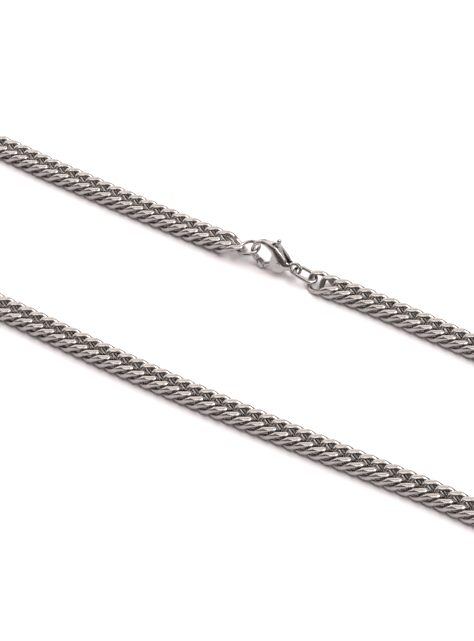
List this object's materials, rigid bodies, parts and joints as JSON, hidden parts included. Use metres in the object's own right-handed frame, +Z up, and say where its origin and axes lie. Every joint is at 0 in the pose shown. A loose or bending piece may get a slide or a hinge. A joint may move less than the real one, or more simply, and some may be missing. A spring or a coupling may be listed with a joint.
{
  "type": "curb chain necklace with lobster clasp",
  "caption": "Polished steel double curb chain laid out as a whole loop, its ends joined by two jump rings and a sprung lobster clasp.",
  "frame": {"origin": "middle of the necklace's bounding box, on the surface that it lies on", "axes": "+X runs along the two strands towards the clasp's tail, +Y points from the front strand to the clasp, +Z is up"},
  "size_m": [0.2298, 0.056, 0.0088],
  "materials": {
    "chain_steel": "polished stainless steel, links ground flat on both faces",
    "ring_steel": "polished stainless steel wire",
    "clasp_steel": "tumbled and polished stainless steel casting",
    "lever_steel": "polished stainless steel",
    "pin_steel": "polished pin, ends peened flush"
  },
  "bodies": {
    "necklace": {"chain_left": "chain_steel", "chain_right": "chain_steel", "catch_ring": "ring_steel", "tail_ring": "ring_steel", "clasp_body": "clasp_steel", "clasp_pin": "pin_steel"},
    "lever": {"clasp_lever": "lever_steel"}
  },
  "joints": [
    {"name": "lever_swing", "type": "hinge", "parent": "necklace", "child": "lever", "pos_m": [0.00104, 0.02291, 0.00314], "axis": [0, 0.9563, -0.2924], "range_deg": [0, 25], "stiffness_Nm_per_rad": 0.005}
  ]
}
